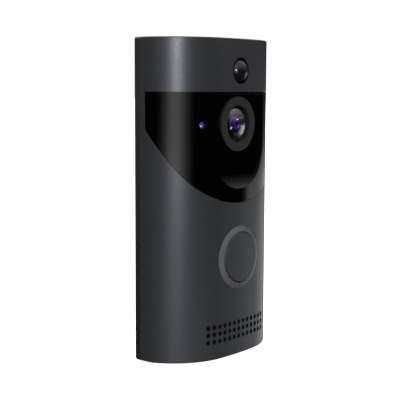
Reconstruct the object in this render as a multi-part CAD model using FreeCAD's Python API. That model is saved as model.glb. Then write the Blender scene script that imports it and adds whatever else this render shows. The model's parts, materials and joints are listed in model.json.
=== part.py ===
import FreeCAD, Part
import math
import os

# Battery video doorbell on a wall bracket.  Millimetres, +Z up, front towards -Y, wall at y = 0.
# Heights in this file are counted from the bottom edge of the doorbell; every piece is
# lowered by ORIGIN_Z on export, so that the row's origin is the centre of the bracket's
# screw pattern on the wall plane.

V = FreeCAD.Vector

# ---------------------------------------------------------------- driving dimensions
H = 138.0            # overall height
W = 76.0             # overall width
HW = W / 2.0
STRIP = 2.85         # depth of the straight rear rim that stays visible at the side
R_MID = 140.0        # front curve, middle arc
R_SIDE = 28.77       # front curve, side arcs
MID_ANGLE = 5.0      # half angle of the middle arc, degrees
FRONT_Y = -26.87     # front-most point
ORIGIN_Z = 76.0      # height of the screw pattern's centre
WALL = 2.6           # front shell wall
PANEL_T = 1.2        # gloss panel sheet
GAP = 0.12           # shut line between panel and shell
CORNER_BOTTOM = 2.0
CORNER_TOP = 1.0

PANEL_TOP = 115.2
PANEL_SIDE_Y = -5.3
POCKET_Y = -24.9     # flat floor of the camera pocket
POCKET_HW = 19.0

LENS_Z = 101.5
LENS_RING_R = 11.78
LENS_RING_IN = 7.95
PIR_Z = 124.3
PIR_R = 5.65
PIR_DOME_R = 5.3
PIR_PROUD = 2.3
MIC_Z = 71.0
LED_X = -22.0
LED_R = 1.4

BTN_Z = 43.33
BTN_RING_R = 13.76
BTN_RING_IN = 11.3
BTN_CAP_R = 10.9
BTN_CAP_PROUD = 1.24  # the cap's face above the shell's surface
BTN_TRAVEL = 0.5
BTN_CREST = 0.95     # the ring's crest above the shell's surface

GRILLE_PITCH = 3.15
GRILLE_R = 1.08
GRILLE_Z = 11.15

RECESS_HW = 33.0
RECESS_Y = -4.6      # floor of the rear recess that takes the bracket
BACK_T = 1.6         # back plate
LIFT = 8.0           # lift that frees the doorbell from the bracket's hooks

BRACKET_T = 1.6
BRACKET_HW = 31.0
BRACKET_Z0, BRACKET_Z1 = 24.0, 128.0
SCREW_DX, SCREW_DZ = 44.0, 56.0
SCREW_R = 2.2
HOOK_X = 27.0
HOOK_Z = (34.0, 112.0)

C_MID = V(0, FRONT_Y + R_MID, 0)
_a = math.radians(MID_ANGLE)
C_SIDE = V((R_MID - R_SIDE) * math.sin(_a), C_MID.y - (R_MID - R_SIDE) * math.cos(_a), 0)


# ---------------------------------------------------------------- helpers
def box(x0, x1, y0, y1, z0, z1):
    return Part.makeBox(x1 - x0, y1 - y0, z1 - z0, V(x0, y0, z0))


def cyl_y(x, z, r, y0, y1):
    return Part.makeCylinder(r, y1 - y0, V(x, y0, z), V(0, 1, 0))


def cyl_z(x, y, r, z0, z1):
    return Part.makeCylinder(r, z1 - z0, V(x, y, z0), V(0, 0, 1))


def ring_y(x, z, ro, ri, y0, y1):
    return cyl_y(x, z, ro, y0, y1).cut(cyl_y(x, z, ri, y0 - 1, y1 + 1))


def surface_y(x, off=0.0):
    """y of the front curve, moved inwards by off, at a given x."""
    ax = abs(x)
    if ax <= (R_MID - off) * math.sin(_a):
        return C_MID.y - math.sqrt((R_MID - off) ** 2 - ax ** 2)
    return C_SIDE.y - math.sqrt((R_SIDE - off) ** 2 - (ax - C_SIDE.x) ** 2)


def half_width(y, off=0.0):
    """half width of the front curve, moved inwards by off, at a given y."""
    return C_SIDE.x + math.sqrt((R_SIDE - off) ** 2 - (y - C_SIDE.y) ** 2)


def section(off, yback):
    """closed face in XY: the front curve moved inwards by off, closed at y = yback."""
    rm, rs = R_MID - off, R_SIDE - off
    p_mid = V(0, C_MID.y - rm, 0)
    p_join_r = V(C_MID.x + rm * math.sin(_a), C_MID.y - rm * math.cos(_a), 0)
    p_join_l = V(-p_join_r.x, p_join_r.y, 0)
    hx = half_width(yback, off)
    end_r = V(hx, yback, 0)
    end_l = V(-hx, yback, 0)
    a_end = math.atan2(yback - C_SIDE.y, hx - C_SIDE.x)
    a_join = math.atan2(p_join_r.y - C_SIDE.y, p_join_r.x - C_SIDE.x)
    am = 0.5 * (a_end + a_join)
    m_r = V(C_SIDE.x + rs * math.cos(am), C_SIDE.y + rs * math.sin(am), 0)
    m_l = V(-m_r.x, m_r.y, 0)
    edges = [
        Part.Arc(p_join_l, p_mid, p_join_r).toShape(),
        Part.Arc(p_join_r, m_r, end_r).toShape(),
        Part.makeLine(end_r, end_l),
        Part.Arc(end_l, m_l, p_join_l).toShape(),
    ]
    return Part.Face(Part.Wire(edges))


def prism(off, yback, z0, z1):
    f = section(off, yback)
    f.translate(V(0, 0, z0))
    return f.extrude(V(0, 0, z1 - z0))


def sheet(o0, o1, yback, z0, z1):
    """wall between two offsets of the front curve."""
    return prism(o0, yback, z0, z1).cut(prism(o1, yback + 1.0, z0 - 1, z1 + 1))


def outline_plate(hw, z0, z1, rb, rt, y0, y1):
    """front-view rectangle with its own corner radii, extruded along Y."""
    k = math.sqrt(0.5)
    edges = []
    a = V(-hw + rb, y0, z0)
    b = V(hw - rb, y0, z0)
    edges.append(Part.makeLine(a, b))
    edges.append(Part.Arc(b, V(hw - rb + rb * k, y0, z0 + rb - rb * k), V(hw, y0, z0 + rb)).toShape())
    edges.append(Part.makeLine(V(hw, y0, z0 + rb), V(hw, y0, z1 - rt)))
    edges.append(Part.Arc(V(hw, y0, z1 - rt), V(hw - rt + rt * k, y0, z1 - rt + rt * k), V(hw - rt, y0, z1)).toShape())
    edges.append(Part.makeLine(V(hw - rt, y0, z1), V(-hw + rt, y0, z1)))
    edges.append(Part.Arc(V(-hw + rt, y0, z1), V(-hw + rt - rt * k, y0, z1 - rt + rt * k), V(-hw, y0, z1 - rt)).toShape())
    edges.append(Part.makeLine(V(-hw, y0, z1 - rt), V(-hw, y0, z0 + rb)))
    edges.append(Part.Arc(V(-hw, y0, z0 + rb), V(-hw + rb - rb * k, y0, z0 + rb - rb * k), a).toShape())
    return Part.Face(Part.Wire(edges)).extrude(V(0, y1 - y0, 0))


def round_box_y(x0, x1, z0, z1, r, y0, y1):
    """block with its four Y-running edges rounded."""
    b = box(x0, x1, y0, y1, z0, z1)
    es = [e for e in b.Edges if abs(e.tangentAt(e.FirstParameter).y) > 0.9]
    return b.makeFillet(r, es)


def fillet_where(shape, r, test):
    es = [e for e in shape.Edges if test(e)]
    if not es:
        return shape
    try:
        s = shape.makeFillet(r, es)
        if s.isValid() and s.Volume > 0:
            return s
    except Exception:
        pass
    print("fillet skipped", r)
    return shape


def fuse(*shapes):
    s = shapes[0]
    for t in shapes[1:]:
        s = s.fuse(t)
    return s.removeSplitter()


nodes = {}

# ---------------------------------------------------------------- panel outline (front view)
PANEL_PTS = [(37.45, 101.5), (37.22, 99.0), (36.4, 95.4), (34.25, 89.1), (31.6, 83.6), (28.35, 78.9),
             (24.6, 75.2), (20.75, 72.65), (15.8, 70.35), (9.7, 68.55), (3.2, 67.6)]


def panel_region(grow, y0, y1, top_extra=0.0):
    """front-view region of the gloss panel, grown by grow, as a Y-running block."""
    pts = []
    full = PANEL_PTS + [(0.0, 67.45)] + [(-x, z) for x, z in reversed(PANEL_PTS)]
    # outward normal growth, point by point
    m = len(full)
    for i, (x, z) in enumerate(full):
        xa, za = full[max(i - 1, 0)]
        xb, zb = full[min(i + 1, m - 1)]
        tx, tz = xb - xa, zb - za
        ln = math.hypot(tx, tz)
        nx, nz = -tz / ln, tx / ln
        if nx * x + nz * (z - 105.0) < 0:
            nx, nz = -nx, -nz
        pts.append(V(x + nx * grow, y0, z + nz * grow))
    spl = Part.BSplineCurve()
    spl.interpolate(pts)
    a, b = pts[0], pts[-1]
    top = PANEL_TOP + grow + top_extra
    c1, c2 = V(45, y0, a.z + 1.2), V(45, y0, top)
    c3, c4 = V(-45, y0, top), V(-45, y0, b.z + 1.2)
    w = Part.Wire([spl.toShape(), Part.makeLine(b, c4), Part.makeLine(c4, c3), Part.makeLine(c3, c2),
                   Part.makeLine(c2, c1), Part.makeLine(c1, a)])
    return Part.Face(w).extrude(V(0, y1 - y0, 0))


# camera pocket: flat floor, sloped ledge at the top, and at the bottom a run-out
# that curves forward on a level axis until it leaves the panel.
# Its sides stand clear of the panel: the floor itself runs out of the curve.
POCKET_EDGE = [(21.4, 104.0), (20.9, 98.5), (20.0, 93.8), (19.1, 90.8), (18.3, 88.2), (17.5, 86.2), (16.6, 84.3),
               (15.5, 82.4), (14.1, 80.4), (12.4, 78.5), (10.3, 76.8), (7.3, 75.0), (3.9, 73.9), (0.0, 73.5)]
RUN_Z = 81.3           # height where the run-out starts
RUN_R = 15.9           # radius of the run-out


def pocket_cutter():
    right = [V(x, -40, z) for x, z in POCKET_EDGE]
    left = [V(-x, -40, z) for x, z in reversed(POCKET_EDGE[:-1])]
    spl = Part.BSplineCurve()
    spl.interpolate(right + left)
    a, b = right[0], left[-1]
    c1, c2 = V(a.x, -40, 125), V(b.x, -40, 125)
    outline = Part.Face(Part.Wire([spl.toShape(), Part.makeLine(b, c2), Part.makeLine(c2, c1), Part.makeLine(c1, a)]))
    outline = outline.extrude(V(0, 25, 0))
    slope = 1.0 / (POCKET_Y - FRONT_Y)

    def run(deg):
        t = math.radians(deg)
        return V(-30, POCKET_Y - RUN_R * (1 - math.cos(t)), RUN_Z - RUN_R * math.sin(t))

    p_top, p_out = V(-30, POCKET_Y, 114.0), V(-30, -40, 114.0 + (POCKET_Y + 40) * slope)
    p_end = run(40)
    p_low = V(-30, -40, p_end.z)
    side = Part.Face(Part.Wire([Part.makeLine(p_top, p_out), Part.makeLine(p_out, p_low), Part.makeLine(p_low, p_end),
                                Part.Arc(p_end, run(20), run(0)).toShape(), Part.makeLine(run(0), p_top)]))
    side = side.extrude(V(60, 0, 0))
    return outline.common(side)


POCKET = pocket_cutter()

# ---------------------------------------------------------------- front_shell
outer = prism(0.0, -STRIP, 0.0, H).common(outline_plate(HW + 0.02, 0, H, CORNER_BOTTOM, CORNER_TOP, -40, 5))
outer = fillet_where(outer, 0.5, lambda e: (abs(e.CenterOfMass.z) < 0.01 or abs(e.CenterOfMass.z - H) < 0.01)
                     and e.BoundBox.YMin < -STRIP - 1.0)
inner = prism(WALL, -STRIP + 1.0, WALL, H - WALL)
inner = inner.common(box(-60, 60, -40, -STRIP + 0.5, -5, H + 5))
shell = outer.cut(inner)
# rebate that takes the panel sheet
rebate = sheet(-1.0, PANEL_T + 0.06, PANEL_SIDE_Y + GAP, 60, 120).common(panel_region(GAP, -40, 5))
shell = shell.cut(rebate)
# opening behind the camera pocket
shell = shell.cut(round_box_y(-POCKET_HW - 1.0, POCKET_HW + 1.0, 74.0, 114.2, 6.0, -30, -20))
shell = shell.cut(cyl_y(LED_X, LENS_Z, LED_R + 0.5, -30, -15))
shell = shell.cut(cyl_y(0, MIC_Z, 0.9, -30, -20))
shell = shell.cut(cyl_y(0, PIR_Z, PIR_R, -30, -20))
shell = shell.cut(cyl_y(0, BTN_Z, BTN_RING_R + 0.06, -30, -20))
holes = []
for r in range(3):
    for c in range(13):
        holes.append(cyl_y((c - 6) * GRILLE_PITCH, GRILLE_Z + (r - 1) * GRILLE_PITCH, GRILLE_R, -30, -18))
shell = shell.cut(Part.makeCompound(holes))
# screw bosses inside
for sx in (-1, 1):
    for z in (8.0, 130.0):
        boss = cyl_y(sx * 29.5, z, 3.1, -21, -6.35).common(prism(1.2, -3.5, 1, H - 1))
        shell = shell.fuse(boss)
for sx in (-1, 1):
    for z in (8.0, 130.0):
        shell = shell.cut(cyl_y(sx * 29.5, z, 1.12, -14.0, -6.0))
# recess in the bottom wall for the bracket's foot and its screw
shell = shell.cut(box(-7.4, 7.4, -9.6, 0, -1, 4.6))
nodes["front_shell"] = shell.removeSplitter()

# ---------------------------------------------------------------- front_panel
panel = prism(0.0, PANEL_SIDE_Y, 60, 120).cut(POCKET)
panel = panel.cut(prism(PANEL_T, PANEL_SIDE_Y + 1.0, 59, 121))
panel = panel.common(panel_region(0.0, -40, 5))
backing = round_box_y(-POCKET_HW - 0.8, POCKET_HW + 0.8, 74.2, 114.0, 5.8, -30, POCKET_Y + 1.1)
backing = backing.common(prism(0.3, -5, 60, 120))
backing = backing.cut(POCKET)
panel = panel.fuse(backing)
panel = panel.cut(cyl_y(0, LENS_Z, LENS_RING_R + 0.05, -40, -20))
panel = panel.cut(cyl_y(LED_X, LENS_Z, LED_R + 0.04, -40, -15))
panel = panel.cut(cyl_y(0, MIC_Z, 0.5, -40, -20))
nodes["front_panel"] = panel.removeSplitter()

# ---------------------------------------------------------------- camera
RING_FRONT = -25.75
ring = ring_y(0, LENS_Z, LENS_RING_R, LENS_RING_IN, RING_FRONT, -23.0)
ring = ring.fuse(ring_y(0, LENS_Z, 13.6, 10.2, -23.75, -22.3))
nodes["lens_ring"] = ring.removeSplitter()

# domed cover glass seated in the ring's bore, its crown level with the shell's front
R_DOME = 13.0
GLASS_R = LENS_RING_IN - 0.06
sag = R_DOME - math.sqrt(R_DOME ** 2 - GLASS_R ** 2)
apex = -26.8
dome_c = V(0, apex + R_DOME, LENS_Z)
glass = Part.makeSphere(R_DOME, dome_c).cut(Part.makeSphere(R_DOME - 0.9, dome_c))
glass = glass.common(cyl_y(0, LENS_Z, GLASS_R, -40, apex + sag + 1.14))
nodes["lens_glass"] = glass

g_back = apex + sag
barrel = cyl_y(0, LENS_Z, 7.2, -23.35, -15.5)
barrel = barrel.fuse(cyl_y(0, LENS_Z, 5.3, -24.5, -23.2))
barrel = barrel.fuse(cyl_y(0, LENS_Z, 6.6, -15.6, -12.6))
barrel = barrel.cut(Part.makeCone(4.95, 3.9, 0.9, V(0, -24.5, LENS_Z), V(0, 1, 0)))
barrel = barrel.cut(cyl_y(0, LENS_Z, 3.9, -24.6, -12.0))
nodes["lens_barrel"] = barrel.removeSplitter()

ele = Part.makeSphere(5.0, V(0, -25.0 + 5.0, LENS_Z)).common(cyl_y(0, LENS_Z, 3.85, -40, -21.4))
nodes["front_lens_element"] = ele
nodes["rear_lens_element"] = cyl_y(0, LENS_Z, 3.85, -16.0, -14.2)

holder = cyl_y(0, LENS_Z, 9.6, -17.5, -11.7).cut(cyl_y(0, LENS_Z, 7.26, -18, -15.45))
holder = holder.cut(cyl_y(0, LENS_Z, 6.66, -16, -11))
nodes["lens_holder"] = holder.removeSplitter()

cam_pcb = round_box_y(-13, 13, LENS_Z - 12.5, LENS_Z + 12.5, 1.5, -11.65, -10.65)
nodes["camera_board"] = cam_pcb
nodes["image_sensor"] = box(-4.2, 4.2, -12.55, -11.65, LENS_Z - 3.6, LENS_Z + 3.6)

ir_pcb = ring_y(0, LENS_Z, 18.2, 14.0, -21.6, -20.8).common(box(-17.8, 17.8, -30, 0, LENS_Z - 16.6, LENS_Z + 11.9))
nodes["ir_led_board"] = ir_pcb
nodes["ir_leds"] = Part.makeCompound([box(sx * 11.4 - 1.4, sx * 11.4 + 1.4, -23.3, -21.6, LENS_Z + sz * 11.4 - 1.4,
                                          LENS_Z + sz * 11.4 + 1.4)
                                      .common(box(-30, 30, -40, 0, 60, LENS_Z + 11.9))
                                      for sx in (-1, 1) for sz in (-1, 1)])

# light sensor window at the left of the camera
ls = cyl_y(LED_X, LENS_Z, LED_R, surface_y(LED_X) + 0.05, -18.6)
ls = ls.common(prism(0.02, -5, 60, 120))
ls = ls.fuse(cyl_y(LED_X, LENS_Z, LED_R + 0.45, -19.4, -18.4)).removeSplitter()
nodes["light_sensor_lens"] = ls
nodes["light_sensor_board"] = box(LED_X - 3.0, LED_X + 3.0, -17.5, -16.5, LENS_Z - 5, LENS_Z + 5).fuse(
    box(LED_X - 1.2, LED_X + 1.2, -18.4, -17.5, LENS_Z - 1.2, LENS_Z + 1.2)).removeSplitter()

# ---------------------------------------------------------------- motion sensor
pd_r = PIR_DOME_R
dome_h = PIR_DOME_R     # half a sphere
dome_R = (pd_r ** 2 + dome_h ** 2) / (2 * dome_h)
pc = V(0, FRONT_Y - PIR_PROUD + dome_R, PIR_Z)
edge_y = FRONT_Y - PIR_PROUD + dome_h
dome = Part.makeSphere(dome_R, pc).cut(Part.makeSphere(dome_R - 0.8, pc))
dome = dome.common(cyl_y(0, PIR_Z, pd_r, -40, edge_y + 0.3))
flange = ring_y(0, PIR_Z, 7.4, pd_r - 0.85, -24.0, -23.1)
nodes["pir_dome"] = fuse(dome, flange)
nodes["pir_sensor"] = fuse(cyl_y(0, PIR_Z, 4.1, -22.4, -18.2), cyl_y(0, PIR_Z, 4.6, -18.6, -17.9))
nodes["pir_board"] = round_box_y(-12, 12, 116.6, 132.6, 1.0, -17.9, -16.9)

# ---------------------------------------------------------------- microphone
nodes["mic_boot"] = ring_y(0, MIC_Z, 2.9, 1.0, surface_y(0, WALL) + 0.12, -20.6).fuse(
    ring_y(0, MIC_Z, 2.9, 2.3, -20.7, -19.5)).removeSplitter()
nodes["microphone"] = box(-1.5, 1.5, -20.55, -19.5, MIC_Z - 1.1, MIC_Z + 1.1)

# ---------------------------------------------------------------- button
# raised ring: a bevel climbs from the shell's surface to a crest beside the cap
ringb = sheet(-BTN_CREST, 1.6, -5, BTN_Z - 20, BTN_Z + 20).common(
    ring_y(0, BTN_Z, BTN_RING_R, BTN_RING_IN, -40, -5))


def bevelled(shape):
    es = [e for e in shape.Edges if e.BoundBox.YMin < surface_y(13.8) - 0.4
          and abs(math.hypot(e.valueAt(e.FirstParameter).x, e.valueAt(e.FirstParameter).z - BTN_Z) - BTN_RING_R) < 0.05
          and abs(math.hypot(e.valueAt(e.LastParameter).x, e.valueAt(e.LastParameter).z - BTN_Z) - BTN_RING_R) < 0.05
          and e.Length > 3.0]
    for d1, d2 in ((BTN_CREST - 0.03, 2.05), (2.05, BTN_CREST - 0.03)):
        try:
            t = shape.makeChamfer(d1, d2, es)
        except Exception:
            continue
        # the crest must still be there and the foot must meet the shell's surface
        if t.isValid() and abs((shape.Volume - t.Volume) - 0.5 * d1 * d2 * 2 * math.pi * (BTN_RING_R - 0.7)) < 12:
            probe = Part.makeLine(V(0, -40, BTN_Z + BTN_RING_R - 0.15), V(0, -10, BTN_Z + BTN_RING_R - 0.15)).common(t)
            if FRONT_Y - 0.25 < probe.BoundBox.YMin < FRONT_Y + 0.25:
                return t
    print("ring bevel skipped")
    return shape


ringb = bevelled(ringb)
ringb = ringb.fuse(ring_y(0, BTN_Z, BTN_RING_R, 12.7, -25.4, -23.0).common(prism(0.4, -5, 0, 80)))
ringb = ringb.fuse(ring_y(0, BTN_Z, 16.0, 12.7, -22.9, -21.7).common(prism(2.75, -5, 0, 80)))
ringb = ringb.fuse(ring_y(0, BTN_Z, BTN_RING_R, 12.7, -23.2, -21.7).common(prism(0.4, -5, 0, 80)))
nodes["button_ring"] = ringb.removeSplitter()

cap = prism(-BTN_CAP_PROUD, -5, BTN_Z - 20, BTN_Z + 20).common(cyl_y(0, BTN_Z, BTN_CAP_R, -40, -23.4))
cap = cap.fuse(cyl_y(0, BTN_Z, 12.3, -23.75, -23.0))
cap = cap.cut(cyl_y(0, BTN_Z, 9.2, -24.6, -22).cut(cyl_y(0, BTN_Z, 2.2, -24.7, -21)))
cap = cap.removeSplitter()
cap = fillet_where(cap, 0.35, lambda e: e.BoundBox.YMin < -25.3 and e.BoundBox.XLength > 15)
nodes["button_cap"] = cap

nodes["switch_plunger"] = cyl_y(0, BTN_Z, 1.7, -22.98, -21.1)
sw = box(-3, 3, -21.6, -19.5, BTN_Z - 3, BTN_Z + 3).cut(cyl_y(0, BTN_Z, 1.76, -22, -20.2))
nodes["button_switch"] = sw
nodes["button_seal"] = ring_y(0, BTN_Z, 15.6, 12.9, -21.68, -19.52)
nodes["ring_leds"] = Part.makeCompound([box(x - 0.8, x + 0.8, -20.2, -19.5, z - 0.8, z + 0.8)
                                        for x, z in ((8.1, BTN_Z + 8.1), (-8.1, BTN_Z + 8.1), (8.1, BTN_Z - 8.1),
                                                     (-8.1, BTN_Z - 8.1))])

# ---------------------------------------------------------------- speaker
mesh_s = sheet(WALL + 0.04, WALL + 0.34, -5, 4.4, 17.6).common(box(-21.5, 21.5, -40, -10, 0, 30))
nodes["speaker_mesh"] = mesh_s
gk = prism(WALL + 0.38, -20.4, 4.2, 18.0).common(box(-21.2, 21.2, -40, -19.4, 0, 30))
gk = gk.cut(box(-19.6, 19.6, -40, -10, 6.0, 16.4))
nodes["speaker_gasket"] = gk.common(box(-21.2, 21.2, -40, -20.4, 0, 30))
spk = round_box_y(-20.6, 20.6, 4.6, 17.8, 2.0, -20.36, -14.6)
spk = spk.cut(round_box_y(-18.6, 18.6, 6.6, 15.8, 1.8, -21, -19.6))
nodes["speaker"] = spk
nodes["speaker_cone"] = round_box_y(-18.0, 18.0, 7.2, 15.2, 1.6, -20.1, -19.6)

# ---------------------------------------------------------------- boards and battery
mb = round_box_y(-23.2, 23.2, 24.0, 86.0, 2.0, -19.5, -18.3)
nodes["main_board"] = mb
nodes["processor_shield"] = round_box_y(-12, 12, 52.0, 78.0, 1.0, -18.3, -16.5)
nodes["radio_module"] = box(13.0, 22.6, -18.3, -16.9, 54.0, 72.0)
nodes["antenna"] = box(19.2, 22.6, -18.3, -17.6, 75.0, 84.0)
nodes["battery_connector"] = box(-21, -14, -18.3, -16.2, 27.0, 32.0)
cells = [round_box_y(-22.4, -0.2, 26, 86, 3.0, -15.8, -6.6), round_box_y(0.2, 22.4, 26, 86, 3.0, -15.8, -6.6)]
nodes["battery_cells"] = Part.makeCompound(cells)
tray = round_box_y(-23.4, 23.4, 24.8, 87.2, 2.0, -12.0, -6.3).cut(box(-22.6, 22.6, -13, -5, 25.8, 86.2))
nodes["battery_cradle"] = tray

# ---------------------------------------------------------------- rear housing
rim = outline_plate(HW, 0, H, CORNER_BOTTOM, CORNER_TOP, -STRIP, 0.0)
tongue = prism(WALL + 0.12, -STRIP + 0.4, WALL + 0.12, H - WALL - 0.12).common(box(-60, 60, RECESS_Y - BACK_T, -STRIP + 0.2, 0, H))
rear = rim.fuse(tongue)
rear = rear.cut(round_box_y(-RECESS_HW, RECESS_HW, 5.0, 133.0, 3.0, RECESS_Y, 5.0))
# hook pockets: closed boxes behind tall slots in the back plate
for sx in (-1, 1):
    for z in HOOK_Z:
        x0, x1 = sx * HOOK_X - 3.6, sx * HOOK_X + 3.6
        rear = rear.fuse(box(x0, x1, -9.8, RECESS_Y - 1.0, z - LIFT - 1.7, z + 11.0))
for sx in (-1, 1):
    for z in HOOK_Z:
        x0, x1 = sx * HOOK_X - 2.4, sx * HOOK_X + 2.4
        rear = rear.cut(box(x0, x1, -8.6, RECESS_Y - BACK_T, z - LIFT - 0.5, z + 9.8))
        rear = rear.cut(box(x0, x1, -7.0, 0.0, z - LIFT - 0.5, z + 3.1))
# seat for the security screw, and the notch for the bracket's foot
rear = rear.fuse(box(-4.5, 4.5, -9.4, -3.0, 4.7, 13.0))
rear = rear.cut(box(-7.4, 7.4, -9.6, 1, -1, 4.6))
rear = rear.cut(box(-7.4, 7.4, -2.0, 1, -1, 6.0))
rear = rear.cut(cyl_z(0, -6.2, 1.32, 4.0, 12.2))
# case screw holes
for sx in (-1, 1):
    for z in (8.0, 130.0):
        rear = rear.cut(cyl_y(sx * 29.5, z, 1.3, -8, 0))
# charging port, reset button and terminal holes
USB_X, RST_X, PORT_Z = 16.0, -16.0, 13.5
rear = rear.cut(round_box_y(USB_X - 7.2, USB_X + 7.2, PORT_Z - 4.6, PORT_Z + 4.6, 1.5, RECESS_Y - 0.9, -1))
rear = rear.cut(round_box_y(USB_X - 4.9, USB_X + 4.9, PORT_Z - 2.0, PORT_Z + 2.0, 1.6, -8, -3))
rear = rear.cut(cyl_y(RST_X, PORT_Z, 2.4, -8, 0))
for sx in (-1, 1):
    rear = rear.cut(cyl_y(sx * 9.0, 95.0, 1.9, -8, 0))
# groove for the seal
groove = outline_plate(37.3, 0.7, H - 0.7, 1.4, 0.8, -STRIP - 0.1, -STRIP + 0.9).cut(
    outline_plate(36.1, 1.9, H - 1.9, 0.8, 0.5, -STRIP - 1, 3))
rear = rear.cut(groove)
nodes["rear_housing"] = rear.removeSplitter()
seal = outline_plate(37.25, 0.75, H - 0.75, 1.4, 0.8, -STRIP, -STRIP + 0.85).cut(
    outline_plate(36.15, 1.85, H - 1.85, 0.8, 0.5, -STRIP - 1, 3))
seal = seal.cut(box(-7.5, 7.5, -10, 5, -1, 3))
nodes["case_seal"] = seal

scr = []
for sx in (-1, 1):
    for z in (8.0, 130.0):
        s = cyl_y(sx * 29.5, z, 1.1, -13.0, RECESS_Y).fuse(cyl_y(sx * 29.5, z, 2.2, RECESS_Y, RECESS_Y + 1.4))
        s = s.cut(box(sx * 29.5 - 1.3, sx * 29.5 + 1.3, RECESS_Y + 0.7, -1, z - 0.25, z + 0.25))
        s = s.cut(box(sx * 29.5 - 0.25, sx * 29.5 + 0.25, RECESS_Y + 0.7, -1, z - 1.3, z + 1.3))
        scr.append(s.removeSplitter())
nodes["case_screws"] = Part.makeCompound(scr)

# terminals for the house wiring
posts = []
tscr = []
for sx in (-1, 1):
    p = cyl_y(sx * 9.0, 95.0, 3.4, -9.6, -6.2).cut(cyl_y(sx * 9.0, 95.0, 1.56, -9.0, -6.0))
    posts.append(p)
    s = cyl_y(sx * 9.0, 95.0, 1.5, -8.9, RECESS_Y + 0.5).fuse(cyl_y(sx * 9.0, 95.0, 3.1, RECESS_Y + 0.5, RECESS_Y + 2.0))
    s = s.cut(box(sx * 9.0 - 4, sx * 9.0 + 4, RECESS_Y + 1.3, -1, 94.6, 95.4))
    tscr.append(s.removeSplitter())
nodes["terminal_posts"] = Part.makeCompound(posts)
nodes["terminal_screws"] = Part.makeCompound(tscr)
nodes["terminal_washers"] = Part.makeCompound([ring_y(sx * 9.0, 95.0, 3.2, 1.58, RECESS_Y, RECESS_Y + 0.48) for sx in (-1, 1)])

# charging port and its board
nodes["port_board"] = round_box_y(-24.5, 24.5, 7.0, 20.0, 1.0, -13.6, -12.6).cut(box(-5.2, 5.2, -20, 0, 0, 13.6))
usb = round_box_y(USB_X - 4.47, USB_X + 4.47, PORT_Z - 1.63, PORT_Z + 1.63, 1.5, -12.6, -5.6)
usb = usb.cut(round_box_y(USB_X - 4.17, USB_X + 4.17, PORT_Z - 1.33, PORT_Z + 1.33, 1.25, -11.8, -5))
usb = usb.fuse(box(USB_X - 3.2, USB_X + 3.2, -12.0, -6.4, PORT_Z - 0.35, PORT_Z + 0.35)).removeSplitter()
nodes["charging_port"] = usb
cov = round_box_y(USB_X - 7.0, USB_X + 7.0, PORT_Z - 4.4, PORT_Z + 4.4, 1.4, RECESS_Y - 0.85, RECESS_Y + 0.35)
nodes["port_cover"] = cov

nodes["reset_switch"] = box(RST_X - 2.2, RST_X + 2.2, -12.6, -9.9, PORT_Z - 2.2, PORT_Z + 2.2).cut(
    cyl_y(RST_X, PORT_Z, 1.26, -11.5, -9))
nodes["reset_button"] = cyl_y(RST_X, PORT_Z, 2.32, -7.6, RECESS_Y - 0.1).fuse(
    cyl_y(RST_X, PORT_Z, 3.0, -8.0, -6.95)).fuse(cyl_y(RST_X, PORT_Z, 1.2, -10.6, -7.9)).removeSplitter()

# flat cable from the camera board down to the main board
fl = box(-5, 5, -10.6, -10.4, 88.6, 95.0)
fl = fl.fuse(box(-5, 5, -17.9, -10.4, 88.3, 88.6)).fuse(box(-5, 5, -18.2, -17.9, 80.5, 88.6)).removeSplitter()
nodes["camera_flex"] = fl

# ---------------------------------------------------------------- wall bracket
br = round_box_y(-BRACKET_HW, BRACKET_HW, BRACKET_Z0, BRACKET_Z1, 4.0, -BRACKET_T, 0.0)
br = br.cut(round_box_y(-14.0, 14.0, 50.0, 102.0, 3.0, -5, 5))
br = br.fuse(box(-7.0, 7.0, -BRACKET_T, 0, 2.2, 30.0))
br = br.fuse(box(-7.0, 7.0, -9.2, 0, 2.2, 4.2))
for sx in (-1, 1):
    for z in (ORIGIN_Z - SCREW_DZ / 2, ORIGIN_Z + SCREW_DZ / 2):
        br = br.cut(cyl_y(sx * SCREW_DX / 2, z, SCREW_R, -5, 5))
for sx in (-1, 1):
    for z in HOOK_Z:
        br = br.fuse(box(sx * HOOK_X - 2.0, sx * HOOK_X + 2.0, -7.8, -BRACKET_T, z, z + 3.0))
        br = br.fuse(box(sx * HOOK_X - 2.0, sx * HOOK_X + 2.0, -7.8, -6.5, z, z + 8.6))
br = br.cut(cyl_z(0, -6.2, 1.4, 1, 6))
nodes["wall_bracket"] = br.removeSplitter()

ss = cyl_z(0, -6.2, 1.25, 2.1, 11.6).fuse(cyl_z(0, -6.2, 2.5, 0.35, 2.18))
hexa = [V(1.0 * math.cos(math.radians(60 * i)), -6.2 + 1.0 * math.sin(math.radians(60 * i)), 0.0) for i in range(6)]
ss = ss.cut(Part.Face(Part.makePolygon(hexa + [hexa[0]])).extrude(V(0, 0, 1.4)))
nodes["security_screw"] = ss.removeSplitter()

# ---------------------------------------------------------------- export
os.makedirs("parts", exist_ok=True)
for name in sorted(nodes):
    s = nodes[name].copy()
    s.translate(V(0, 0, -ORIGIN_Z))
    ok = s.isValid()
    print("%-20s solids %2d valid %s vol %9.2f bb y %.2f..%.2f z %.2f..%.2f" % (
        name, len(s.Solids), ok, s.Volume, s.BoundBox.YMin, s.BoundBox.YMax, s.BoundBox.ZMin, s.BoundBox.ZMax))
    s.exportStep(os.path.join("parts", name + ".step"))
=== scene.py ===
import bpy, json, math
from mathutils import Matrix, Vector


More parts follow.
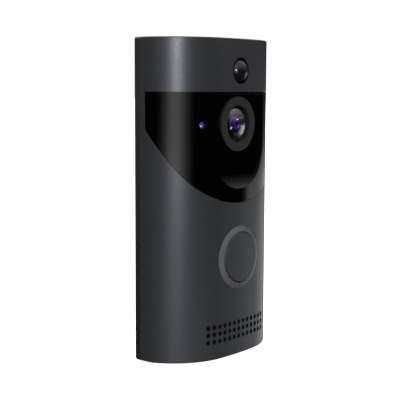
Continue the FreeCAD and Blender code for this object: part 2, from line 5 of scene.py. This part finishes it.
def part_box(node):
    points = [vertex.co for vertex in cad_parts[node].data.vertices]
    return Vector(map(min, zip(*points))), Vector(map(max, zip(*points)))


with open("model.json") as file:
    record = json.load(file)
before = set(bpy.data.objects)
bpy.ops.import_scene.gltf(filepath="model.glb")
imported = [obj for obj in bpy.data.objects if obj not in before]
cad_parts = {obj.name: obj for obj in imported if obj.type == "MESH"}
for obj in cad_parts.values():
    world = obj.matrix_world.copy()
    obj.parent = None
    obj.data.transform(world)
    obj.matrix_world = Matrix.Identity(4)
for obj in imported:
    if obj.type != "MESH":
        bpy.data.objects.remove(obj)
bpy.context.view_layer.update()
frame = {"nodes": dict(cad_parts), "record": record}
nodes = frame["nodes"]
scene = bpy.context.scene
scene.view_settings.view_transform = "Standard"
scene.view_settings.look = "None"
scene.view_settings.exposure = 0.0
scene.view_settings.gamma = 1.0

LOW_Z = min(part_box(n)[0].z for n in ("front_shell", "rear_housing"))

# ------------------------------------------------------------------ camera
cam_data = bpy.data.cameras.new("camera")
cam = bpy.data.objects.new("camera", cam_data)
scene.collection.objects.link(cam)
right = Vector((0.63785, -0.77015, 0.00412)).normalized()
fwd = Vector((0.76537, 0.63327, -0.11484)).normalized()
up = right.cross(fwd).normalized()
m = Matrix((right, up, -fwd)).transposed().to_4x4()
m.translation = Vector((-0.33977, -0.28538, 0.11767 - 0.076))
cam.matrix_world = m
cam_data.sensor_width = 36.0
cam_data.lens = 985.0 / 400.0 * 36.0
cam_data.clip_start = 0.01
cam_data.clip_end = 50.0
scene.camera = cam


# ------------------------------------------------------------------ node helpers
class Mat:
    """a principled material with small helpers for its procedural nodes"""

    def __init__(self, name, **const):
        self.m = bpy.data.materials.new(name)
        self.m.use_nodes = True
        self.t = self.m.node_tree
        self.p = self.t.nodes["Principled BSDF"]
        for k, v in const.items():
            self.set(k.replace("_", " "), v)
        self.co = None

    def set(self, key, v):
        for s in self.p.inputs:
            if s.name.lower() == key.lower():
                if s.type == "RGBA" and len(v) == 3:
                    v = (*v, 1.0)
                s.default_value = v
                return
        raise KeyError(key)

    def new(self, kind, **kw):
        n = self.t.nodes.new(kind)
        for k, v in kw.items():
            setattr(n, k, v)
        return n

    def coords(self):
        if self.co is None:
            self.co = self.new("ShaderNodeTexCoord").outputs["Object"]
        return self.co

    def noise(self, scale, detail=3.0, rough=0.55, stretch=None, distortion=0.0):
        n = self.new("ShaderNodeTexNoise")
        n.inputs["Scale"].default_value = scale
        n.inputs["Detail"].default_value = detail
        n.inputs["Roughness"].default_value = rough
        n.inputs["Distortion"].default_value = distortion
        src = self.coords()
        if stretch:
            mp = self.new("ShaderNodeMapping")
            mp.inputs["Scale"].default_value = stretch
            self.t.links.new(src, mp.inputs["Vector"])
            src = mp.outputs["Vector"]
        self.t.links.new(src, n.inputs["Vector"])
        return n.outputs["Fac"]

    def voronoi(self, scale, feature="F1", out="Color", rnd=1.0):
        n = self.new("ShaderNodeTexVoronoi", feature=feature)
        n.inputs["Scale"].default_value = scale
        n.inputs["Randomness"].default_value = rnd
        self.t.links.new(self.coords(), n.inputs["Vector"])
        return n.outputs[out]

    def ramp(self, fac, stops, interp="LINEAR"):
        r = self.new("ShaderNodeValToRGB")
        r.color_ramp.interpolation = interp
        els = r.color_ramp.elements
        while len(els) > 1:
            els.remove(els[-1])
        els[0].position = stops[0][0]
        els[0].color = self._c(stops[0][1])
        for p, c in stops[1:]:
            e = els.new(p)
            e.color = self._c(c)
        self.t.links.new(fac, r.inputs["Fac"])
        return r.outputs["Color"]

    @staticmethod
    def _c(c):
        if isinstance(c, (int, float)):
            return (c, c, c, 1.0)
        return (*c, 1.0) if len(c) == 3 else c

    def mix(self, fac, a, b, mode="MIX"):
        n = self.new("ShaderNodeMix", data_type="RGBA", blend_type=mode)
        for sock, v in ((n.inputs[0], fac), (n.inputs[6], a), (n.inputs[7], b)):
            if isinstance(v, bpy.types.NodeSocket):
                self.t.links.new(v, sock)
            elif sock.type == "RGBA":
                sock.default_value = self._c(v)
            else:
                sock.default_value = v
        return n.outputs[2]

    def math(self, op, a, b=0.0, clamp=False):
        n = self.new("ShaderNodeMath", operation=op, use_clamp=clamp)
        for i, v in enumerate((a, b)):
            if isinstance(v, bpy.types.NodeSocket):
                self.t.links.new(v, n.inputs[i])
            else:
                n.inputs[i].default_value = v
        return n.outputs[0]

    def sep(self):
        n = self.new("ShaderNodeSeparateXYZ")
        self.t.links.new(self.coords(), n.inputs[0])
        return n.outputs

    def bump(self, height, dist, strength=1.0, after=None):
        b = self.new("ShaderNodeBump")
        b.inputs["Distance"].default_value = dist
        b.inputs["Strength"].default_value = strength
        self.t.links.new(height, b.inputs["Height"])
        if after is not None:
            self.t.links.new(after, b.inputs["Normal"])
        return b.outputs["Normal"]

    def link(self, sock, key):
        for s in self.p.inputs:
            if s.name.lower() == key.lower():
                self.t.links.new(sock, s)
                return
        raise KeyError(key)


# ------------------------------------------------------------------ materials
def paint(name, base, rough, flake=0.10, sparkle=0.5, shaded_holes=False):
    """metallic flake paint: fine flakes tint the base and tilt the surface a little"""
    a = Mat(name, metallic=0.0, roughness=rough, ior=1.5)
    a.set("specular tint", (0.84, 0.90, 1.0))
    v = a.voronoi(3000.0)
    bw = a.new("ShaderNodeRGBToBW")
    a.t.links.new(v, bw.inputs[0])
    n1 = a.noise(1400.0, 4.0, 0.7)
    n2 = a.noise(26.0, 2.0, 0.5)
    f = a.math("ADD", a.math("MULTIPLY", bw.outputs[0], 0.6), a.math("MULTIPLY", n1, 0.4))
    c = a.ramp(f, [(0.15, tuple(x * 0.78 for x in base)), (0.5, base), (0.88, tuple(min(1, x * 1.4) for x in base))])
    c2 = a.mix(a.math("MULTIPLY", n2, 0.25), c, tuple(x * 0.9 for x in base))
    if shaded_holes:
        # painted shade: walls of holes and recesses behind the outer skin are coloured near-black to stand for the
        # shade inside them
        x, y, z = a.sep()
        ax = a.math("ABSOLUTE", x)
        side = a.math("MAXIMUM", a.math("SUBTRACT", ax, 0.0122), 0.0)
        skin = a.math("ADD", a.math("MULTIPLY", a.math("MULTIPLY", x, x), 1000.0 / 280.0),
                      a.math("MULTIPLY", a.math("MULTIPLY", side, side), 14.1))
        depth = a.math("SUBTRACT", a.math("SUBTRACT", y, -0.02687), skin)
        # painted shade mask: surfaces deeper than the outer skin, within the front area
        inside = a.math("MULTIPLY", a.math("GREATER_THAN", depth, 0.00028), a.math("LESS_THAN", ax, 0.0235))
        lo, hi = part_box("front_shell")
        inside = a.math("MULTIPLY", inside, a.math("LESS_THAN", z, hi.z - 0.001))
        inside = a.math("MULTIPLY", inside, a.math("GREATER_THAN", z, lo.z + 0.001))
        c2 = a.mix(inside, c2, (0.0060, 0.0062, 0.0066))
    a.link(c2, "Base Color")
    # the brightest flakes are bare metal
    a.link(a.ramp(f, [(0.60, 0.0), (0.80, sparkle)]), "Metallic")
    r = a.ramp(a.noise(900.0, 3.0), [(0.3, rough - 0.03), (0.7, rough + 0.03)])
    a.link(r, "Roughness")
    nb = a.bump(f, 0.00002, flake)
    a.link(nb, "Normal")
    return a.m


def gloss(name, base, rough, peel=0.03, ior=1.5, **kw):
    a = Mat(name, roughness=rough, ior=ior, **kw)
    n = a.noise(90.0, 3.0)
    a.link(a.mix(a.math("MULTIPLY", n, 0.5), base, tuple(x * 1.35 for x in base)), "Base Color")
    r = a.ramp(a.noise(240.0, 5.0, 0.7), [(0.35, rough), (0.62, rough + 0.008), (0.8, rough + 0.035)])
    a.link(r, "Roughness")
    a.link(a.bump(a.noise(420.0, 2.0), 0.00001, peel), "Normal")
    return a.m


def moulded(name, base, rough=0.5, grain=0.35, scale=2600.0, spec=0.5):
    a = Mat(name, roughness=rough)
    n = a.noise(scale, 4.0, 0.65)
    big = a.noise(35.0, 3.0)
    c = a.ramp(n, [(0.3, tuple(x * 0.75 for x in base)), (0.7, tuple(x * 1.25 for x in base))])
    c = a.mix(a.math("MULTIPLY", big, 0.3), c, tuple(x * 1.2 for x in base))
    a.link(c, "Base Color")
    a.link(a.ramp(big, [(0.3, rough - 0.06), (0.7, rough + 0.08)]), "Roughness")
    a.link(a.bump(n, 0.00003, grain), "Normal")
    return a.m


def metal(name, base, rough=0.3, stretch=(1, 1, 1), scale=900.0, strength=0.15):
    a = Mat(name, metallic=1.0, roughness=rough)
    n = a.noise(scale, 4.0, 0.6, stretch=stretch)
    a.link(a.ramp(n, [(0.3, tuple(x * 0.8 for x in base)), (0.7, tuple(min(1, x * 1.12) for x in base))]), "Base Color")
    a.link(a.ramp(a.noise(120.0, 4.0), [(0.3, rough - 0.08), (0.75, rough + 0.14)]), "Roughness")
    a.link(a.bump(n, 0.00002, strength), "Normal")
    return a.m


def board(name):
    a = Mat(name, roughness=0.35)
    v = a.voronoi(420.0, "DISTANCE_TO_EDGE", "Distance")
    tr = a.ramp(v, [(0.03, (0.05, 0.22, 0.10)), (0.07, (0.008, 0.085, 0.035))], "LINEAR")
    dots = a.ramp(a.voronoi(650.0, "F1", "Distance"), [(0.10, (0.65, 0.60, 0.42)), (0.14, (0.0, 0.0, 0.0))], "CONSTANT")
    a.link(a.mix(1.0, tr, dots, "ADD"), "Base Color")
    a.link(a.bump(v, 0.00003, 0.4), "Normal")
    return a.m


def foam(name, base):
    a = Mat(name, roughness=0.95)
    v = a.voronoi(1800.0, "F1", "Distance")
    a.link(a.ramp(v, [(0.1, tuple(x * 0.4 for x in base)), (0.6, tuple(x * 1.5 for x in base))]), "Base Color")
    a.link(a.bump(v, 0.0002, 0.8), "Normal")
    return a.m


M = {}
M["graphite_paint"] = paint("graphite_paint", (0.0245, 0.0262, 0.0300), 0.335, 0.30, shaded_holes=True)
M["button_grey"] = paint("button_grey", (0.029, 0.0305, 0.0320), 0.36, 0.10)
M["halo_grey"] = paint("halo_grey", (0.072, 0.074, 0.078), 0.40, 0.06)
M["black_gloss"] = gloss("black_gloss", (0.0004, 0.0004, 0.00045), 0.03, 0.02, 1.45)
M["ring_grey"] = moulded("ring_grey", (0.0105, 0.0105, 0.0125), 0.42, 0.10, 3200.0)
M["smoked_lens"] = gloss("smoked_lens", (0.0065, 0.0068, 0.0082), 0.06, 0.03, 1.42)
M["black_abs"] = moulded("black_abs", (0.0062, 0.0065, 0.0070), 0.46, 0.30)
M["black_rubber"] = moulded("black_rubber", (0.012, 0.012, 0.012), 0.72, 0.5, 1900.0)
M["barrel_black"] = moulded("barrel_black", (0.0035, 0.0034, 0.0042), 0.40, 0.06)
M["board_green"] = board("board_green")
M["chip_black"] = moulded("chip_black", (0.012, 0.012, 0.013), 0.45, 0.3, 3600.0)
M["tin_can"] = metal("tin_can", (0.62, 0.61, 0.58), 0.32, (1, 8, 1))
M["steel"] = metal("steel", (0.50, 0.50, 0.51), 0.28, (6, 1, 6))
M["brass"] = metal("brass", (0.62, 0.44, 0.17), 0.28, (6, 1, 6))
M["cell_wrap"] = gloss("cell_wrap", (0.010, 0.075, 0.26), 0.22, 0.12)
M["white_abs"] = moulded("white_abs", (0.62, 0.61, 0.57), 0.42, 0.2)
M["foam"] = foam("foam", (0.03, 0.03, 0.03))
M["cone_paper"] = foam("cone_paper", (0.02, 0.02, 0.021))
M["flex_amber"] = gloss("flex_amber", (0.38, 0.16, 0.015), 0.25, 0.1)


def ring_paint(name):
    """satin front face; everything behind it is coloured near-black as painted shade"""
    a = Mat(name, roughness=0.42)
    n = a.noise(3200.0, 4.0, 0.65)
    y0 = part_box("lens_ring")[0].y + 0.00012
    # painted shade: surfaces behind the front face get a near-black colour and a rougher finish
    recess_shade = a.math("GREATER_THAN", a.sep()[1], y0)
    c = a.ramp(n, [(0.3, (0.0085, 0.0083, 0.0105)), (0.7, (0.0125, 0.0123, 0.0145))])
    a.link(a.mix(recess_shade, c, (0.0008, 0.0008, 0.0009)), "Base Color")
    a.link(a.math("ADD", a.math("MULTIPLY", recess_shade, 0.25), a.math("ADD", a.math("MULTIPLY", n, 0.08), 0.38)), "Roughness")
    a.link(a.bump(n, 0.00002, 0.10), "Normal")
    return a.m


M["ring_grey"] = ring_paint("ring_grey")


def glass_coated(name):
    """cover glass: clear, with a lavender anti-reflection coat"""
    a = Mat(name, roughness=0.0, ior=1.66, transmission_weight=1.0, specular_ior_level=1.0)
    a.set("specular tint", (0.90, 0.72, 1.0))
    a.link(a.mix(a.math("MULTIPLY", a.noise(150.0), 0.10), (0.95, 0.92, 1.0), (0.88, 0.85, 0.96)), "Base Color")
    a.link(a.ramp(a.noise(60.0, 2.0), [(0.5, 0.0), (0.8, 0.006)]), "Roughness")
    return a.m


M["clear_glass"] = glass_coated("clear_glass")


def element_violet(name):
    a = Mat(name, roughness=0.03, ior=1.7, specular_ior_level=1.0)
    a.set("specular tint", (0.62, 0.42, 1.0))
    n = a.new("ShaderNodeTexGradient", gradient_type="SPHERICAL")
    mp = a.new("ShaderNodeMapping", vector_type="TEXTURE")
    lo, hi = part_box("front_lens_element")
    c = (lo + hi) / 2
    mp.inputs["Location"].default_value = (c.x, lo.y, c.z)
    mp.inputs["Scale"].default_value = (0.0042, 0.0042, 0.0042)
    a.t.links.new(a.coords(), mp.inputs["Vector"])
    a.t.links.new(mp.outputs[0], n.inputs["Vector"])
    # painted reflection: a brighter violet band around the apex stands for the coating's sheen
    c = a.ramp(n.outputs["Fac"], [(0.0, (0.004, 0.002, 0.012)), (0.30, (0.020, 0.008, 0.060)), (0.55, (0.10, 0.035, 0.30)),
                                  (0.78, (0.035, 0.010, 0.10)), (1.0, (0.008, 0.004, 0.02))])
    a.link(c, "Base Color")
    a.link(a.ramp(a.noise(500.0, 3.0), [(0.4, 0.02), (0.8, 0.05)]), "Roughness")
    return a.m


M["lens_violet"] = element_violet("lens_violet")


def sensor_blue(name):
    """small light sensor under a clear cap: blue filter, a painted cream highlight low on the left, a dark green
    crescent on the right
    """
    a = Mat(name, roughness=0.06, ior=1.5)
    lo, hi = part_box("light_sensor_lens")
    c = (lo + hi) / 2
    x, y, z = a.sep()

    def dist(dx, dz):
        u = a.math("SUBTRACT", x, c.x + dx)
        v = a.math("SUBTRACT", z, c.z + dz)
        return a.math("SQRT", a.math("ADD", a.math("MULTIPLY", u, u), a.math("MULTIPLY", v, v)))

    n = a.noise(900.0, 2.0)
    blue = a.ramp(n, [(0.35, (0.020, 0.028, 0.20)), (0.7, (0.045, 0.06, 0.36))])
    # painted highlight: a cream spot low on the left
    painted_glint = a.ramp(a.math("MULTIPLY", dist(-0.00062, -0.00042), 1000.0), [(0.30, 1.0), (0.44, 0.0)])
    # dark green band outside a circle set left of centre, so it shows on the right
    right_crescent = a.ramp(a.math("MULTIPLY", dist(-0.00055, -0.00010), 500.0), [(0.60, 0.0), (0.70, 1.0)])
    col = a.mix(right_crescent, blue, (0.006, 0.022, 0.014))
    col = a.mix(painted_glint, col, (0.50, 0.44, 0.36))
    a.link(col, "Base Color")
    a.link(a.bump(n, 0.00001, 0.1), "Normal")
    return a.m


M["sensor_blue"] = sensor_blue("sensor_blue")

slot_of = {s["node"]: s["material_slot"] for s in frame["record"]["subparts"]}
for n, o in nodes.items():
    s = slot_of.get(n, "black_abs")
    mat = M[s]
    if n == "front_lens_element":
        mat = M["lens_violet"]
    if len(o.material_slots) == 0:
        o.data.materials.append(mat)
    for ms in o.material_slots:
        ms.material = mat


# ------------------------------------------------------------------ floor
def floor():
    me = bpy.data.meshes.new("studio_floor")
    r = 6.0
    z = LOW_Z - 0.0002
    me.from_pydata([(-r, -r, z), (r, -r, z), (r, r, z), (-r, r, z)], [], [(0, 1, 2, 3)])
    ob = bpy.data.objects.new("studio_floor", me)
    scene.collection.objects.link(ob)
    a = Mat("studio_floor", roughness=1.0, specular_ior_level=0.0)
    a.link(a.mix(a.noise(3.0), (0.80, 0.80, 0.80), (0.84, 0.84, 0.84)), "Base Color")
    a.set("emission color", (1, 1, 1))
    a.set("emission strength", 0.90)
    me.materials.append(a.m)
    ob.visible_glossy = False
    ob.visible_diffuse = False
    ob.visible_transmission = False
    ob.visible_shadow = False


floor()

# ------------------------------------------------------------------ light
CENTER = Vector((0.0, -0.013, -0.007))


def direction(az, el):
    a, e = math.radians(az), math.radians(el)
    return Vector((math.cos(a) * math.cos(e), math.sin(a) * math.cos(e), math.sin(e)))


def lamp(name, az, el, dist, wdeg, hdeg, radiance, color=(1, 1, 1)):
    """small area light, wdeg by hdeg degrees as the object sees it"""
    ld = bpy.data.lights.new(name, "AREA")
    ld.shape = "ELLIPSE"
    ld.size = 2 * dist * math.tan(math.radians(wdeg / 2))
    ld.size_y = 2 * dist * math.tan(math.radians(hdeg / 2))
    area = math.pi * ld.size * ld.size_y / 4
    ld.energy = radiance * math.pi * area
    ld.color = color
    ob = bpy.data.objects.new(name, ld)
    scene.collection.objects.link(ob)
    d = direction(az, el)
    ob.location = CENTER + d * dist
    ob.rotation_mode = "QUATERNION"
    ob.rotation_quaternion = d.to_track_quat("Z", "Y")
    ob.visible_camera = False
    return ob


KEY = lamp("key_lamp", -136.6, 8.5, 1.6, 5.0, 5.0, 200.0, (1.0, 0.99, 1.0))
LOW = lamp("low_fill", -105.0, -33.0, 0.25, 24.0, 24.0, 6.5)
LOW.visible_glossy = False
SPARK = lamp("lens_spark", -49.0, 12.0, 1.5, 3.4, 3.4, 11.0)


# the studio: soft boxes painted by direction on the world, which the camera sees as plain white
world = bpy.data.worlds.new("world")
scene.world = world
world.use_nodes = True
wt = world.node_tree


def wmath(op, a, b=0.0, c=None):
    n = wt.nodes.new("ShaderNodeMath")
    n.operation = op
    for i, v in enumerate((a, b, c)):
        if v is None:
            continue
        if isinstance(v, bpy.types.NodeSocket):
            wt.links.new(v, n.inputs[i])
        else:
            n.inputs[i].default_value = v
    return n.outputs[0]


tc = wt.nodes.new("ShaderNodeTexCoord")
sx = wt.nodes.new("ShaderNodeSeparateXYZ")
wt.links.new(tc.outputs["Generated"], sx.inputs[0])
DX, DY, DZ = sx.outputs
DEG = 180.0 / math.pi
EL = wmath("MULTIPLY", wmath("ARCSINE", wmath("MINIMUM", wmath("MAXIMUM", DZ, -1.0), 1.0)), DEG)


def az_from(center):
    """degrees of azimuth away from a centre line, -180 to 180"""
    c, s = math.cos(math.radians(center)), math.sin(math.radians(center))
    a = wmath("ADD", wmath("MULTIPLY", DX, c), wmath("MULTIPLY", DY, s))
    b = wmath("SUBTRACT", wmath("MULTIPLY", DY, c), wmath("MULTIPLY", DX, s))
    return wmath("MULTIPLY", wmath("ARCTAN2", b, a), DEG)


def curve(x, pts):
    """piecewise smooth function of x through the given points"""
    n = wt.nodes.new("ShaderNodeFloatCurve")
    lo, hi = pts[0][0], pts[-1][0]
    top = max(max(p[1] for p in pts), 1e-6)
    mr = wmath("DIVIDE", wmath("SUBTRACT", x, lo), hi - lo)
    mr = wmath("MINIMUM", wmath("MAXIMUM", mr, 0.0), 1.0)
    cv = n.mapping.curves[0]
    while len(cv.points) > 2:
        cv.points.remove(cv.points[-1])
    cv.points[0].location = (0.0, pts[0][1] / top)
    cv.points[1].location = (1.0, pts[-1][1] / top)
    for p in pts[1:-1]:
        cv.points.new((p[0] - lo) / (hi - lo), p[1] / top)
    for p in cv.points:
        p.handle_type = "AUTO_CLAMPED"
    n.mapping.update()
    wt.links.new(mr, n.inputs["Value"])
    return wmath("MULTIPLY", n.outputs[0], top)


# front soft box around the viewing side: a bell across, wide in height
front = wmath("MULTIPLY",
              curve(az_from(-138.0), [(-34, 0), (-28, 0.045), (-19, 0.26), (-14, 0.5), (-9, 0.80), (0, 1.0), (8, 0.80),
                                      (14, 0.5), (22, 0.2), (29, 0.05), (34, 0)]),
              curve(EL, [(-60, 0), (-36, 0.0), (-26, 0.30), (-13, 1.20), (-6, 2.0), (-2, 1.74), (10, 1.6), (30, 1.2), (50, 0)]))
# pale table seen low on the right
right = wmath("MULTIPLY",
              curve(az_from(0.0), [(-60, 0), (-37, 0), (-33, 0.5), (-28, 1.0), (13, 1.0), (24, 0.0), (60, 0.0)]),
              curve(EL, [(-40, 0.0), (-30, 0.05), (-20, 0.8), (-14, 1.0), (-8, 1.0), (-6, 0.85), (-4, 0.35), (-1.5, 0.06), (2, 0.0)]))
# overhead soft box
over = wmath("MULTIPLY", curve(EL, [(2, 0), (5.8, 0.05), (12, 0.145), (19, 0.35), (26, 0.62), (32.5, 0.93), (39, 1.2), (60, 1.3), (90, 1.3)]), 1.0)
# back light, so that the rear is lit as well
rear = wmath("MULTIPLY",
             curve(az_from(88.0), [(-42, 0), (-26, 1.0), (14, 1.0), (30, 0)]),
             curve(EL, [(-30, 0), (-10, 1.0), (20, 2.2), (50, 1.2), (70, 0)]))
total = wmath("ADD", wmath("ADD", front, right), wmath("ADD", over, rear))
total = wmath("ADD", total, 0.006)
bg = wt.nodes["Background"]
bg.inputs["Color"].default_value = (1, 1, 1, 1)
wt.links.new(total, bg.inputs["Strength"])
bg2 = wt.nodes.new("ShaderNodeBackground")
bg2.inputs["Color"].default_value = (1, 1, 1, 1)
bg2.inputs["Strength"].default_value = 1.0
lp = wt.nodes.new("ShaderNodeLightPath")
mx = wt.nodes.new("ShaderNodeMixShader")
wt.links.new(lp.outputs["Is Camera Ray"], mx.inputs[0])
wt.links.new(bg.outputs[0], mx.inputs[1])
wt.links.new(bg2.outputs[0], mx.inputs[2])
wt.links.new(mx.outputs[0], wt.nodes["World Output"].inputs["Surface"])
